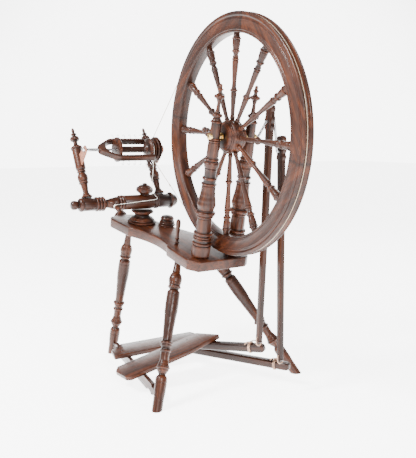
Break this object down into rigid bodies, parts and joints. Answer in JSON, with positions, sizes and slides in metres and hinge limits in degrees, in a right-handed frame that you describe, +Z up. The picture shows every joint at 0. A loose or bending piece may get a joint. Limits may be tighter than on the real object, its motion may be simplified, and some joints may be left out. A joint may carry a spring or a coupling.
{
  "type": "spinning wheel",
  "caption": "Double-treadle Saxony spinning wheel with a sloped bench on turned legs, a spoked drive wheel between leaning posts, and a flyer and bobbin on a mother-of-all.",
  "frame": {"origin": "on the floor, under the middle of the object", "axes": "+X along the bench towards the drive wheel, +Y away from the spinner, +Z up"},
  "size_m": [0.8402, 0.5796, 1.005],
  "materials": {
    "walnut": "satin oiled walnut-brown hardwood",
    "dark_walnut": "satin dark brown hardwood",
    "brass": "polished brass",
    "steel": "bright steel rod",
    "leather": "undyed tan leather",
    "cotton": "undyed cotton cord"
  },
  "bodies": {
    "stand": {"bench": "walnut", "near_post": "walnut", "far_post": "walnut", "near_axle_bush": "brass", "far_axle_bush": "brass", "bush_lock_peg": "walnut", "front_leg": "walnut", "left_leg": "walnut", "rear_leg": "walnut", "treadle_crossbar": "walnut", "distaff_boss": "walnut", "drive_band": "cotton"},
    "drive_wheel": {"wheel_hub": "walnut", "wheel_rim": "walnut", "wheel_spoke_01": "walnut", "wheel_spoke_02": "walnut", "wheel_spoke_03": "walnut", "wheel_spoke_04": "walnut", "wheel_spoke_05": "walnut", "wheel_spoke_06": "walnut", "wheel_spoke_07": "walnut", "wheel_spoke_08": "walnut", "wheel_spoke_09": "walnut", "wheel_spoke_10": "walnut", "wheel_spoke_11": "walnut", "wheel_spoke_12": "walnut", "axle_and_cranks": "steel"},
    "near_footman": {"near_footman": "dark_walnut", "near_footman_thong": "leather"},
    "far_footman": {"far_footman": "dark_walnut", "far_footman_thong": "leather"},
    "near_treadle": {"near_treadle": "walnut", "near_treadle_bar": "dark_walnut", "near_bar_tie": "leather"},
    "far_treadle": {"far_treadle": "walnut", "far_treadle_bar": "dark_walnut", "far_bar_tie": "leather"},
    "tension_head": {"mother_pedestal": "walnut", "mother_of_all": "walnut", "near_maiden": "walnut", "far_maiden": "walnut", "near_leather": "leather", "far_leather": "leather", "brake_cord": "cotton"},
    "flyer": {"flyer": "dark_walnut", "flyer_spindle": "steel", "flyer_whorl": "dark_walnut"},
    "bobbin": {"bobbin": "dark_walnut"},
    "brake_peg": {"brake_peg": "walnut"},
    "clamp_knob": {"clamp_knob": "walnut"},
    "tension_screw": {"tension_knob": "walnut"},
    "threading_hook": {"threading_hook": "walnut"}
  },
  "joints": [
    {"name": "wheel_spin", "type": "hinge", "parent": "stand", "child": "drive_wheel", "pos_m": [0.11506, 0.00619, 0.7], "axis": [0, 1, 0], "continuous": true},
    {"name": "near_footman_swing", "type": "hinge", "parent": "drive_wheel", "child": "near_footman", "pos_m": [0.11506, 0.12819, 0.74], "axis": [0, 1, 0], "continuous": true},
    {"name": "far_footman_swing", "type": "hinge", "parent": "drive_wheel", "child": "far_footman", "pos_m": [0.11506, 0.16819, 0.66], "axis": [0, 1, 0], "continuous": true},
    {"name": "tension_screw_turn", "type": "hinge", "parent": "stand", "child": "tension_screw", "pos_m": [-0.37971, -0.08381, 0.44157], "axis": [0.9848, 0, -0.1736], "range_deg": [0, 601]},
    {"name": "tension_slide", "type": "slide", "parent": "stand", "child": "tension_head", "axis": [0.9848, 0, -0.1736], "range_m": [0, 0.01]},
    {"name": "flyer_spin", "type": "hinge", "parent": "tension_head", "child": "flyer", "pos_m": [-0.28994, 0.00619, 0.663], "axis": [0, 1, 0], "continuous": true},
    {"name": "bobbin_spin", "type": "hinge", "parent": "flyer", "child": "bobbin", "pos_m": [-0.28994, 0.00619, 0.663], "axis": [0, 1, 0], "continuous": true},
    {"name": "brake_peg_turn", "type": "hinge", "parent": "tension_head", "child": "brake_peg", "pos_m": [-0.2585, -0.15981, 0.49801], "axis": [0.9397, 0, -0.342], "range_deg": [-180, 180]},
    {"name": "clamp_knob_turn", "type": "hinge", "parent": "tension_head", "child": "clamp_knob", "pos_m": [-0.27107, -0.05781, 0.52596], "axis": [0.1736, 0, 0.9848], "range_deg": [0, 180]},
    {"name": "near_treadle_rock", "type": "hinge", "parent": "stand", "child": "near_treadle", "pos_m": [0.07553, -0.18859, 0.033], "axis": [0.9905, -0.1376, 0], "range_deg": [-11, 0.5]},
    {"name": "far_treadle_rock", "type": "hinge", "parent": "stand", "child": "far_treadle", "pos_m": [0.07553, -0.18859, 0.033], "axis": [0.9905, -0.1376, 0], "range_deg": [-0.5, 11]},
    {"name": "threading_hook_lift", "type": "slide", "parent": "stand", "child": "threading_hook", "axis": [0.1736, 0, 0.9848], "range_m": [0, 0.08]}
  ],
  "couplings": [
    {"joint": "near_footman_swing", "follows": "wheel_spin", "ratio": -1},
    {"joint": "far_footman_swing", "follows": "wheel_spin", "ratio": -1},
    {"joint": "flyer_spin", "follows": "wheel_spin", "ratio": 8.985},
    {"joint": "tension_screw_turn", "follows": "tension_slide", "rad_per_m": 1047.2}
  ]
}
